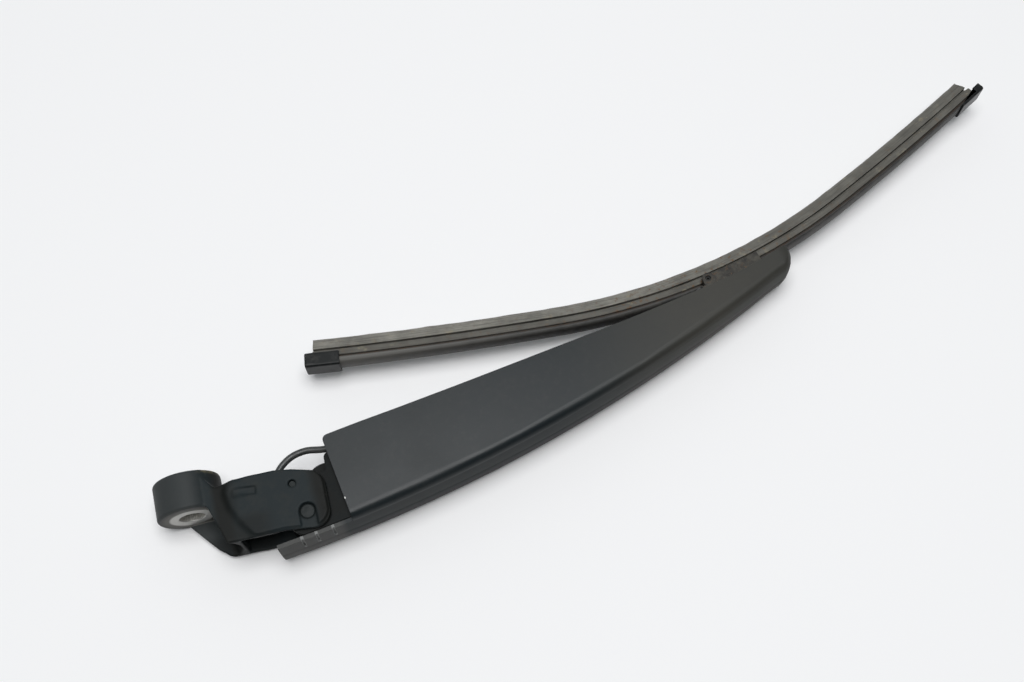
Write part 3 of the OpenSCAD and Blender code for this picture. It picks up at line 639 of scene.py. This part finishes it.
wavy_h, sway, flutter, frayed_h, frayed = 4.2, 0.35, 0.15, 1, 0.12
bm = straight_bar(section, -blade_in, blade_out)
cut_along(bm, 2.0)
for v in bm.verts:
    h = -v.co.y
    loose = max(0.0, 1 - h / wavy_h)
    slow_wave = loose * sway * noise.noise((v.co.x / 11, 0.3, 5))
    quick_wave = loose * flutter * noise.noise((v.co.x / 3.5, 1, 2))
    v.co.z += slow_wave + quick_wave
    if h < frayed_h:
        v.co.y -= frayed + frayed * noise.noise((v.co.x / 5, 7, 1))
as_piece(bent(bm), "worn_rubber", "blade", rubber, ("wiper_rubber",), 28)

# A torn sliver sticks out of the rubber at its tip end
sliver, sliver_len = [(5.3, -0.5), (5.3, 0.7), (6.5, 0.7), (6.5, -0.5)], 2.2
bm = straight_bar(sliver, blade_out - 1, blade_out + sliver_len)
for v in bm.verts:
    if v.co.x > blade_out:
        v.co.y, v.co.z = -6.6 + (v.co.y + 5.9) * 0.3, v.co.z * 0.4 + 0.3
soft_edges(bm, 0.1)
as_piece(bent(bm, 1.0), "torn_sliver", "blade", rubber, (), 40)


# Two steel strips lie in the grooves of the shoulder and give the blade its curve. Their edges
# show as a rusty line along each side, its rust colours kept very dark as painted shade of the grooves.
strip_rust_and_shade, tree, shader = finish("rusty_strip_painted_shade", 0.5)
scale = use(tree, patches, Size=4.0, Low=0.35, High=0.65)
# Real rust patches, painted very dark as painted shade of the grooves the strips lie in
tree.links.new(mixed(tree, scale, (0.03, 0.028, 0.025), (0.045, 0.028, 0.018)), shader.inputs["Base Color"])
shader.inputs["Roughness"].default_value = 0.6
bumped(tree, shader, use(tree, grain, Size=0.5), 0.03)
for name, node, z0, z1 in (("near_strip", "strip_near", 0.9, 3.2), ("far_strip", "strip_far", -3.2, -0.9)):
    bm = straight_bar([(strip_h, z0), (strip_h, z1), (strip_h + strip_t, z1), (strip_h + strip_t, z0)],
                      -blade_in + 1, blade_out - 1)
    soft_edges(bm, 0.12)
    as_piece(bent(bm, 3.0), name, "blade", strip_rust_and_shade, (node,), 40)


# The spoiler is a softer rubber in two lengths, clipped over the spine on each side of the
# connector. It is darker than the lip, and dust has settled on its shoulder.
dark_rubber, tree, shader = finish("dark_rubber")
soot = use(tree, patches, Size=7.0, Low=0.4, High=0.75)
shade = mixed(tree, soot, (0.026, 0.0255, 0.024), (0.062, 0.059, 0.052))
shade = mixed(tree, ramped(tree, axis_part(tree, 0), 170 * mm, 70 * mm), shade, (0.105, 0.102, 0.092))
tree.links.new(shade, shader.inputs["Base Color"])
shader.inputs["Roughness"].default_value = 0.62
bumped(tree, shader, use(tree, grain, Size=0.6), 0.03)
half_w, mount_s, mount_len = 4.0, 1.0, 26.0
fin = both_sides([(head_h, 1.9), (foot, 2.0), (foot, half_w), (blade_h - 1, half_w),
                  (blade_h - 0.4, half_w - 0.5), (blade_h, half_w - 1.5)])
for name, node, a, b in (("head_spoiler", "spoiler_inner", -blade_in + 1, mount_s - 1),
                         ("tip_spoiler", "spoiler_outer", mount_s + mount_len + 1, blade_out - 1)):
    bm = straight_bar(fin, a, b)
    soft_edges(bm, 0.2)
    as_piece(bent(bm), name, "blade", dark_rubber, (node,), 40)


# The connector is moulded in black plastic and crimped on the strips. Its two ears hang on the
# pin in the cover's nose. Each end of the blade has a glossy cap: the one at the tip end has
# broken and slipped off a little.
rounded("connector", ("blade_connector",), "blade", aged, 0.35)
whole_cap = as_piece(copy_of("end_cap_inner"), "head_end_cap", "blade", smooth_black,
                     ("end_cap_inner",))
cast_form(whole_cap, 0.2 * mm, 12)
cap_end, worn_len = min(v.co.x for v in whole_cap.data.vertices), 5 * mm
flow_over(whole_cap, "closed_end", lambda at: min(1, (cap_end + worn_len - at.x) / (worn_len / 2)), 45)
rounded("broken_tip_cap", ("end_cap_tip",), "blade", smooth_black, 0.35, segments=3)


# Table, light and camera of the photograph: a plain pale sheet, one large soft light overhead, dim
# surroundings that are brightest above and behind, and a camera above the nut's side.
table_z, table_half = -13.5 * mm, 6.0
sheet = bpy.data.meshes.new("table_sheet")
bm = bmesh.new()
bmesh.ops.create_grid(bm, x_segments=1, y_segments=1, size=table_half)
bmesh.ops.translate(bm, vec=(0, 0, table_z), verts=bm.verts)
bm.to_mesh(sheet)
bm.free()
table = placed("table_sheet", sheet)
paper, tree, shader = finish("pale_sheet")
shader.inputs["Base Color"].default_value = (0.89, 0.888, 0.888, 1)
shader.inputs["Roughness"].default_value = 0.9
shader.inputs["Specular IOR Level"].default_value = 0.2
shader.inputs["Emission Color"].default_value = (1, 1, 1, 1)
seen = tree.nodes.new("ShaderNodeLightPath").outputs["Is Camera Ray"]
tree.links.new(times(tree, seen, 0.05), shader.inputs["Emission Strength"])
sheet.materials.append(paper)

world = bpy.data.worlds.new("studio")
bpy.context.scene.world = world
world.use_nodes = True
tree = world.node_tree
sky = tree.nodes["Background"]
sky.inputs["Color"].default_value = (0.90, 0.955, 1.0, 1)
sky_way = tree.nodes.new("ShaderNodeTexCoord").outputs["Generated"]
facing = node_in(tree, "ShaderNodeSeparateXYZ", _0=sky_way).outputs
above, behind = times(tree, facing[2], 0.75), times(tree, facing[1], 0.65)
sky_strength = ramped(tree, calc(tree, "ADD", above, behind), 0.0, 0.95, 0.03, 0.38)
tree.links.new(sky_strength, sky.inputs["Strength"])


def lamp(name, at, aim, size, power, tint):
    light = bpy.data.lights.new(name, "AREA")
    light.shape = "DISK"
    light.size = size
    light.energy = power
    light.color = tint
    holder = placed(name, light)
    holder.location = at
    holder.rotation_euler = (Vector(aim) - Vector(at)).to_track_quat("-Z", "Y").to_euler()


lamp("soft_box", at=(0.14, 0.0, 2.0), aim=(0.17, 0.05, 0), size=1.35, power=33.5, tint=(0.995, 0.995, 1.0))

camera = placed("photo_camera", bpy.data.cameras.new("photo_camera"))
bpy.context.scene.camera = camera
camera.data.sensor_width = 36.0
camera.data.lens = 42.19
camera.data.clip_start = 0.01
azimuth, elevation = math.radians(-15), math.radians(67)
right = Vector((math.cos(azimuth), math.sin(azimuth), 0))
back = Vector((math.sin(azimuth) * math.cos(elevation), -math.cos(azimuth) * math.cos(elevation),
               math.sin(elevation)))
up = back.cross(right)
view = Matrix((right, up, back)).transposed().to_4x4()
view.translation = (0.0914, -0.1507, 0.4675)
camera.matrix_world = view
bpy.context.scene.view_settings.view_transform = "Standard"
